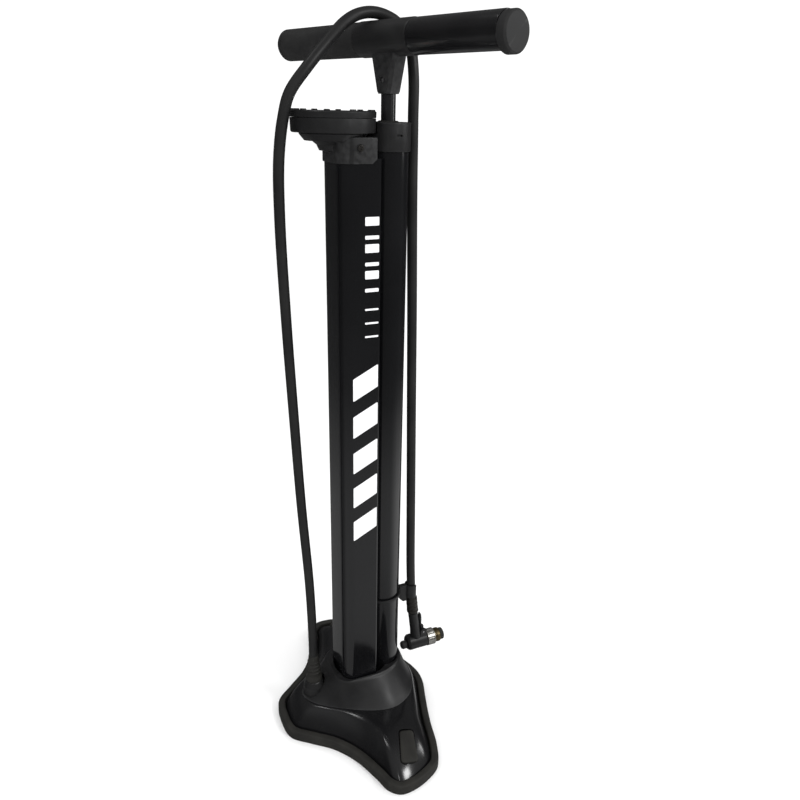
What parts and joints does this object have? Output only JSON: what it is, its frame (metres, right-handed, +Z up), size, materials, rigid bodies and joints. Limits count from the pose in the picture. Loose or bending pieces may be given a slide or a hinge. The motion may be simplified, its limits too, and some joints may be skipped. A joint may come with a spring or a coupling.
{
  "type": "floor bike pump",
  "caption": "Upright floor pump with a flat-sided air tank, top pressure gauge, cross handle, stowed hose and lever chuck on a three-lobed foot.",
  "frame": {"origin": "on the floor, in the foot's flat underside, on the axis of the pump tube", "axes": "+Z up the pump tube; -Y towards the air tank and the gauge; +Y towards the hose clip; +X to the right seen from the tank side"},
  "size_m": [0.2618, 0.187, 0.6825],
  "materials": {
    "gloss_black": "deep gloss black moulding",
    "satin_black": "satin black moulding with a fine grain",
    "matte_black": "matte black moulding",
    "barrel_paint": "gloss black paint on drawn metal",
    "rod_black": "smooth black coated rod",
    "rubber_black": "matte black rubber",
    "hose_rubber": "satin black rubber hose",
    "steel": "plain bright steel",
    "nut_chrome": "knurled bright plating",
    "gunmetal": "dark plated metal",
    "aluminium": "cast, plain",
    "brass": "plain brass",
    "white_plastic": "white moulding",
    "lens_clear": "clear polished plastic",
    "needle_red": "red paint"
  },
  "bodies": {
    "root": {"base_rim": "rubber_black", "base_pan": "gloss_black", "base_collar": "satin_black", "foot_pad_left": "rubber_black", "foot_pad_right": "rubber_black", "bottom_plate": "steel", "plate_screw_1": "steel", "plate_screw_2": "steel", "plate_screw_3": "steel", "plate_screw_4": "steel", "manifold_block": "aluminium", "tank_bottom_plug": "matte_black", "tank_top_plug": "matte_black", "check_valve_seat": "brass", "check_valve_spring": "steel", "outlet_pipe": "aluminium", "outlet_elbow": "brass", "hose_gland": "satin_black", "hose_barb": "brass", "hose_boot": "rubber_black", "pump_tube": "barrel_paint", "tank_shell": "barrel_paint", "tube_seal": "rubber_black", "top_cap": "satin_black", "tube_cap": "satin_black", "rod_bush": "white_plastic", "rod_wiper": "rubber_black", "cap_screw": "gunmetal", "hose": "hose_rubber", "hose_clip": "matte_black", "hose_ferrule": "gunmetal", "chuck_body": "satin_black", "chuck_rear_cap": "matte_black", "lever_pin": "steel"},
    "check_ball": {"check_valve_ball": "steel"},
    "plunger": {"piston_head": "white_plastic", "piston_seal": "rubber_black", "piston_screw": "steel", "bump_stop": "rubber_black"},
    "handle": {"piston_rod": "rod_black", "handle_stem": "matte_black", "handle_core": "steel", "grip_left": "matte_black", "grip_right": "gloss_black", "end_cap_left": "matte_black", "end_cap_right": "matte_black", "stem_pin": "steel"},
    "selector_head": {"gauge_case": "satin_black", "gauge_bezel": "satin_black", "gauge_lens": "lens_clear", "gauge_dial": "white_plastic", "selector_spool": "brass", "bourdon_tube": "brass", "gauge_movement": "brass"},
    "needle": {"gauge_needle": "needle_red"},
    "lever": {"chuck_lever": "matte_black"},
    "chuck_front": {"chuck_nut": "nut_chrome", "chuck_sleeve": "brass", "valve_gasket": "rubber_black"}
  },
  "joints": [
    {"name": "handle_slide", "type": "slide", "parent": "root", "child": "plunger", "axis": [0, 0, 1], "range_m": [0, 0.505], "deforming": ["hose"]},
    {"name": "handle_swivel", "type": "hinge", "parent": "plunger", "child": "handle", "pos_m": [0, 0, 0.66], "axis": [0, 0, 1], "range_deg": [-15, 15]},
    {"name": "selector_turn", "type": "hinge", "parent": "root", "child": "selector_head", "pos_m": [0, -0.0475, 0.6], "axis": [0, 0, 1], "range_deg": [0, 90]},
    {"name": "needle_turn", "type": "hinge", "parent": "selector_head", "child": "needle", "pos_m": [0, -0.0475, 0.6], "axis": [0, 0, -1], "range_deg": [0, 270], "stiffness_Nm_per_rad": 0.0005},
    {"name": "lever_flip", "type": "hinge", "parent": "root", "child": "lever", "pos_m": [0.002, 0.0476, 0.0734], "axis": [-1, 0, 0], "range_deg": [0, 90]},
    {"name": "chuck_nut_turn", "type": "hinge", "parent": "root", "child": "chuck_front", "pos_m": [0.002, 0.06, 0.0604], "axis": [0, 1, 0], "continuous": true},
    {"name": "check_ball_lift", "type": "slide", "parent": "root", "child": "check_ball", "axis": [0, 0, 1], "range_m": [0, 0.0015], "stiffness_N_per_m": 60, "springref_m": -0.003, "deforming": ["check_valve_spring"]}
  ]
}
